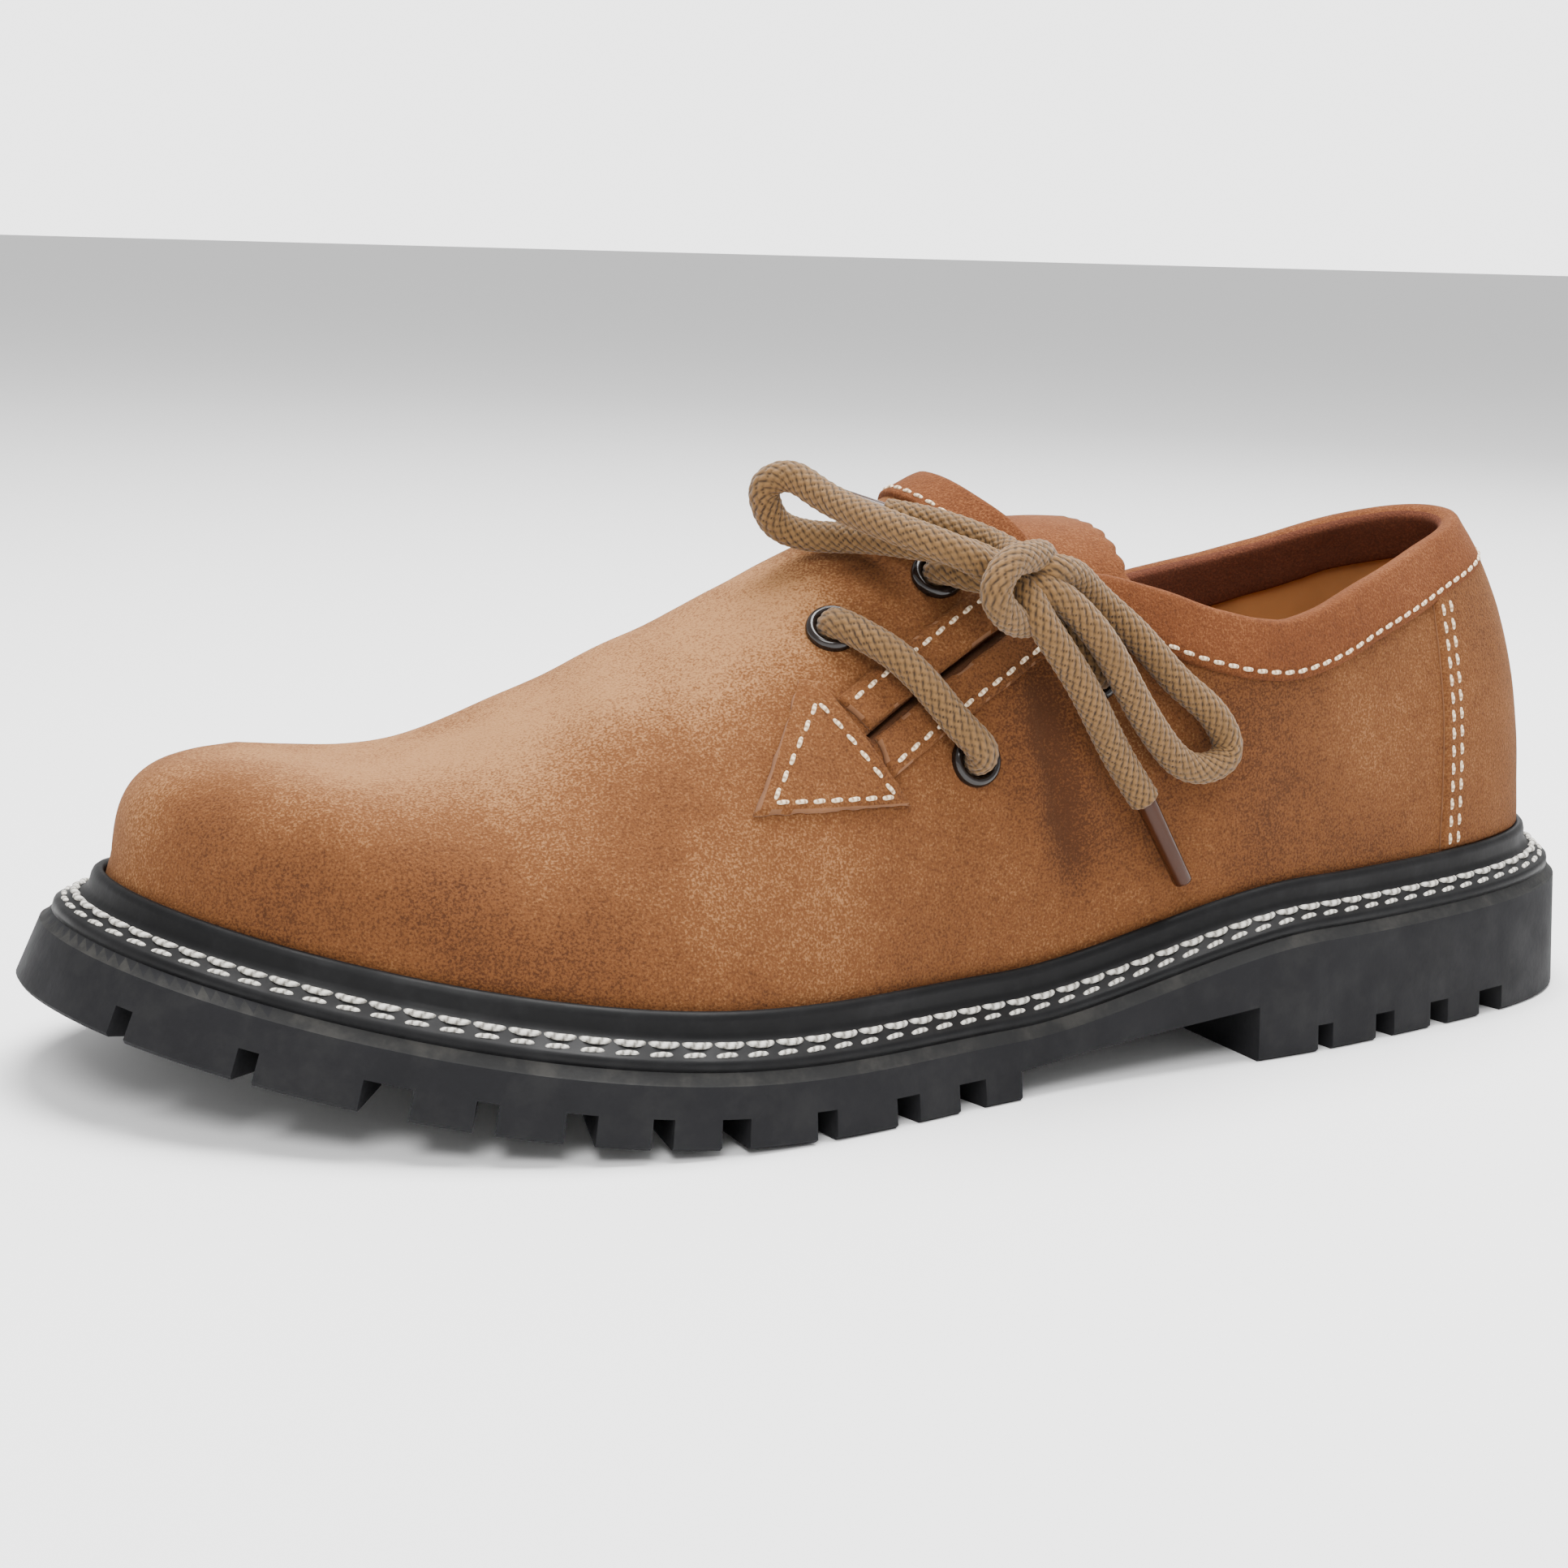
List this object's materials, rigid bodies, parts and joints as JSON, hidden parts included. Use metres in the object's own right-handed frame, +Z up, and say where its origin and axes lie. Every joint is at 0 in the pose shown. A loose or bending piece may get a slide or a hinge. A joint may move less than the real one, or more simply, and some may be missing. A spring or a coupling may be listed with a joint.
{
  "type": "haferl shoe",
  "caption": "Low side-laced folk shoe: hollow suede upper on its last, folded collar band, tongue, raised welt with a stitched ledge and a lug sole with a stepped heel.",
  "frame": {"origin": "middle of the sole's plan box, on the plane the sole stands on", "axes": "+X from toe to heel, -Y to the laced outer side, +Z up"},
  "size_m": [0.306, 0.1216, 0.1066],
  "materials": {
    "sole_rubber": "dull black moulded rubber",
    "welt_rubber": "satin black rubber welt",
    "insole_leather": "plain light leather",
    "suede": "tan suede with a brushed nap",
    "suede_band": "tan suede, folded edge",
    "eyelet_metal": "dark bronze lacquer",
    "lace_cord": "round braided cord",
    "tip_plastic": "clear brown wrapped tip"
  },
  "bodies": {
    "root": {"outsole": "sole_rubber", "welt": "welt_rubber", "insole": "insole_leather", "upper": "suede", "tongue": "suede_band", "collar_band": "suede_band", "vamp_band": "suede_band", "heel_counter": "suede", "slit_strip_front": "suede", "slit_strip_rear": "suede", "slit_patch": "suede", "eyelet_front_low": "eyelet_metal", "eyelet_front_high": "eyelet_metal", "eyelet_rear_low": "eyelet_metal", "eyelet_rear_high": "eyelet_metal", "lace_bar": "lace_cord", "lace_strand_front": "lace_cord", "lace_strand_rear": "lace_cord", "lace_knot": "lace_cord", "lace_loop_front": "lace_cord", "lace_loop_rear": "lace_cord", "lace_end_front": "lace_cord", "lace_end_rear": "lace_cord", "lace_tip_front": "tip_plastic", "lace_tip_rear": "tip_plastic"}
  },
  "joints": []
}
